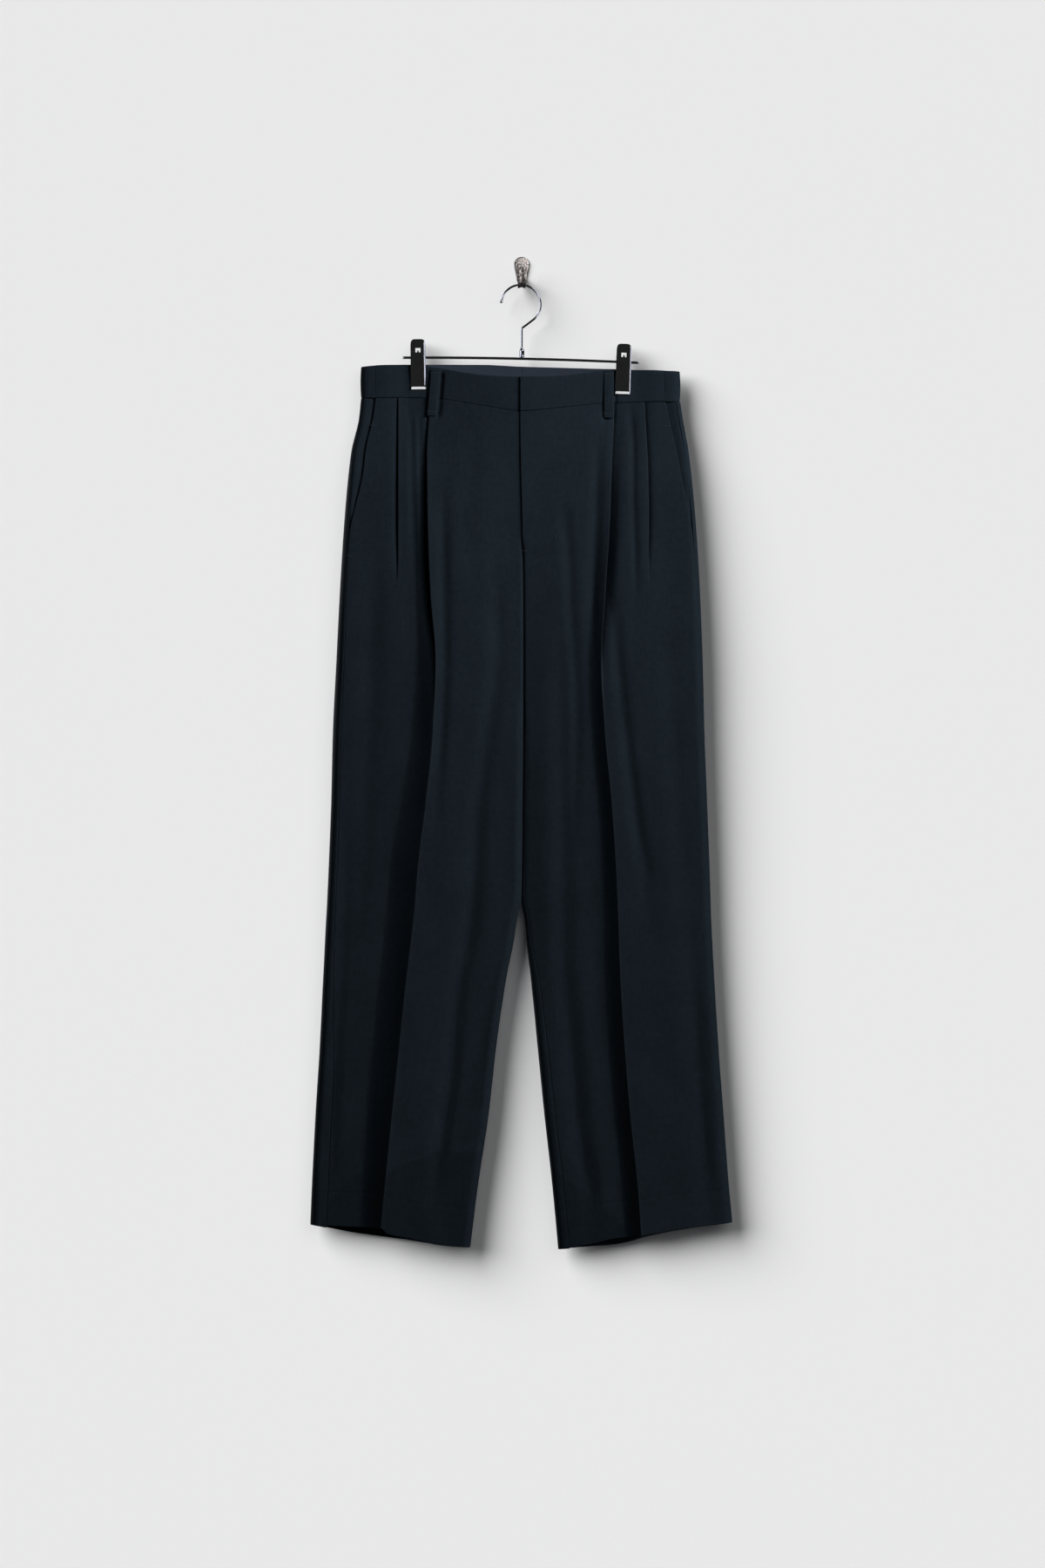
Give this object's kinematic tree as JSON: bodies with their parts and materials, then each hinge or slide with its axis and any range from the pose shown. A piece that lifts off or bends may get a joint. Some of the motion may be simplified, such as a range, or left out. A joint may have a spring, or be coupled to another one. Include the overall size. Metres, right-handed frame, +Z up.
{
  "type": "pleated dress trousers on a clip hanger and wall hook",
  "caption": "Straight pleated dress trousers with pressed creases, hung flat by the waistband from a clip hanger on a small wall hook.",
  "frame": {"origin": "middle of the wall hook's back face, on the wall plane, where the part is held up", "axes": "+Z up; -Y out of the wall, the way the trousers' front faces; +X to the right seen from the front, the wearer's left"},
  "size_m": [0.5141, 0.049, 1.2075],
  "materials": {
    "cloth": "fine matt twill, very dark navy",
    "chrome": "polished",
    "nickel": "warm polished nickel"
  },
  "bodies": {
    "root": {"front_right": "cloth", "front_left": "cloth", "back_right": "cloth", "back_left": "cloth", "band_front_right": "cloth", "band_front_left": "cloth", "band_back_right": "cloth", "band_back_left": "cloth", "pocket_facing_right": "cloth", "pocket_facing_left": "cloth", "loop_front_right": "cloth", "loop_front_left": "cloth", "loop_back_right": "cloth", "loop_back_centre": "cloth", "loop_back_left": "cloth", "hanger_hook": "chrome", "hanger_ferrule": "chrome", "hanger_rod": "chrome", "clip_right_front": "chrome", "clip_right_back": "chrome", "clip_right_spring": "chrome", "clip_left_front": "chrome", "clip_left_back": "chrome", "clip_left_spring": "chrome", "wall_hook": "nickel"}
  },
  "joints": []
}
